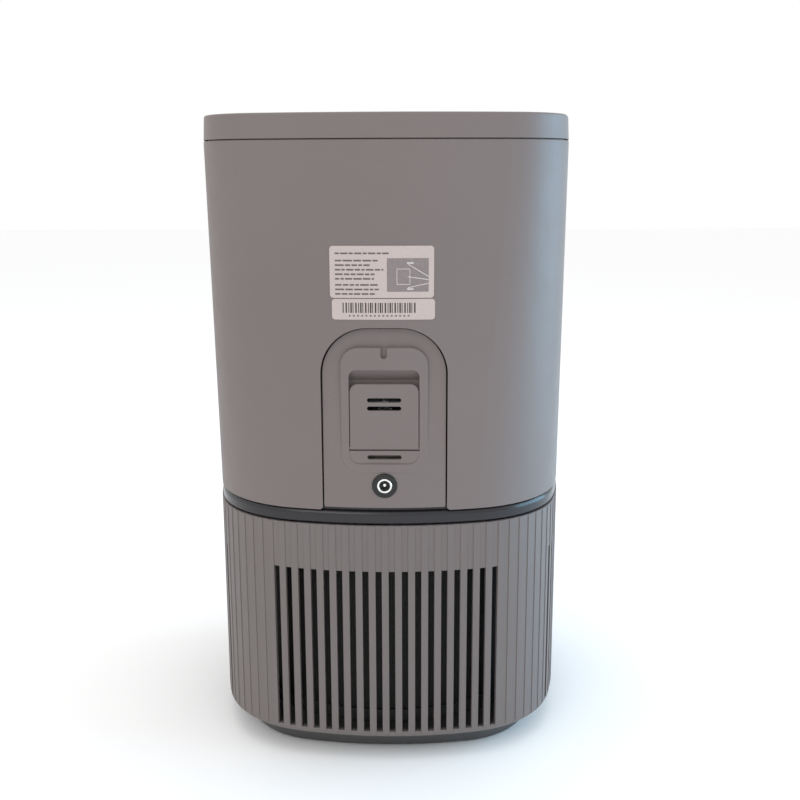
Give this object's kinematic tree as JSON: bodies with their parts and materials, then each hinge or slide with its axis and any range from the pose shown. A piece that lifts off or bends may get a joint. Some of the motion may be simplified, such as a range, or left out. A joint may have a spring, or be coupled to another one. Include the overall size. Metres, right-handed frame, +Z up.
{
  "type": "air purifier",
  "caption": "Square tower air purifier: ribbed filter housing with slotted sides below a smooth fan head with a rear sensor cover, DC inlet and top outlet grille.",
  "frame": {"origin": "middle of the footprint, on the surface that the feet rest on", "axes": "+Z up; the front faces -Y; the rear, with the inlet and the sensor cover, faces +Y"},
  "size_m": [0.2332, 0.2332, 0.4],
  "materials": {
    "shell_grey": "ribbed satin moulding",
    "head_grey": "fine satin mould texture",
    "base_grey": "fine mould texture",
    "neck_black": "satin",
    "dark_plastic": "fine mould texture",
    "gloss_black": "polished",
    "button_grey": "satin",
    "lens_clear": "clear",
    "fan_plastic": "satin",
    "foot_rubber": "matt",
    "seal_foam": "open cell foam",
    "screen_mesh": "woven mesh",
    "filter_frame": "satin",
    "filter_paper": "fibrous",
    "carbon": "granular",
    "tab_fabric": "woven tape",
    "steel": "zinc plated",
    "nickel": "nickel plated",
    "label_white": "smooth",
    "board_green": "solder mask",
    "component_black": "moulded"
  },
  "bodies": {
    "lower_housing": {"grille_shell": "shell_grey", "base_plinth": "base_grey", "rubber_feet": "foot_rubber", "filter_tray": "base_grey", "base_screws": "steel"},
    "filter": {"filter_bottom_cap": "filter_frame", "filter_top_cap": "filter_frame", "filter_wrap": "screen_mesh", "hepa_pleats": "filter_paper", "carbon_core": "carbon", "filter_seal": "seal_foam", "pull_tab": "tab_fabric"},
    "head": {"neck_ring": "neck_black", "fan_plate": "dark_plastic", "plate_screws": "steel", "inlet_guard": "dark_plastic", "motor_bearings": "steel", "motor_stator": "steel", "diffuser": "dark_plastic", "fan_duct": "dark_plastic", "upper_housing": "head_grey", "rear_panel": "head_grey", "sensor_trim": "head_grey", "dust_sensor": "gloss_black", "sensor_lens": "lens_clear", "dc_jack_body": "gloss_black", "dc_jack_sleeve": "nickel", "dc_jack_pin": "nickel", "info_label": "label_white", "barcode_label": "label_white", "top_rim": "head_grey", "top_deck": "dark_plastic", "outlet_grille": "dark_plastic", "control_panel": "gloss_black", "status_window": "lens_clear", "display_board": "board_green", "tact_switches": "component_black", "main_board": "board_green", "board_parts": "component_black"},
    "fan": {"impeller": "fan_plastic", "motor_rotor": "steel", "motor_shaft": "steel", "shaft_nut": "steel"},
    "sensor_cover": {"sensor_cover": "head_grey"},
    "button_power": {"button_power": "button_grey"},
    "button_mode": {"button_mode": "button_grey"},
    "button_timer": {"button_timer": "button_grey"},
    "button_light": {"button_light": "button_grey"}
  },
  "joints": [
    {"name": "filter_lift", "type": "slide", "parent": "lower_housing", "child": "filter", "axis": [0, 0, 1], "range_m": [0, 0.145]},
    {"name": "head_lift", "type": "slide", "parent": "filter", "child": "head", "axis": [0, 0, 1], "range_m": [0, 0.06]},
    {"name": "fan_spin", "type": "hinge", "parent": "head", "child": "fan", "pos_m": [0, 0, 0.2], "axis": [0, 0, 1], "continuous": true},
    {"name": "cover_hinge", "type": "hinge", "parent": "head", "child": "sensor_cover", "pos_m": [0, 0.11315, 0.20485], "axis": [-1, 0, 0], "range_deg": [0, 75]},
    {"name": "press_power", "type": "slide", "parent": "head", "child": "button_power", "axis": [0, 0, -1], "range_m": [0, 0.001], "stiffness_N_per_m": 900, "springref_m": -0.0004},
    {"name": "press_mode", "type": "slide", "parent": "head", "child": "button_mode", "axis": [0, 0, -1], "range_m": [0, 0.001], "stiffness_N_per_m": 900, "springref_m": -0.0004},
    {"name": "press_timer", "type": "slide", "parent": "head", "child": "button_timer", "axis": [0, 0, -1], "range_m": [0, 0.001], "stiffness_N_per_m": 900, "springref_m": -0.0004},
    {"name": "press_light", "type": "slide", "parent": "head", "child": "button_light", "axis": [0, 0, -1], "range_m": [0, 0.001], "stiffness_N_per_m": 900, "springref_m": -0.0004}
  ]
}
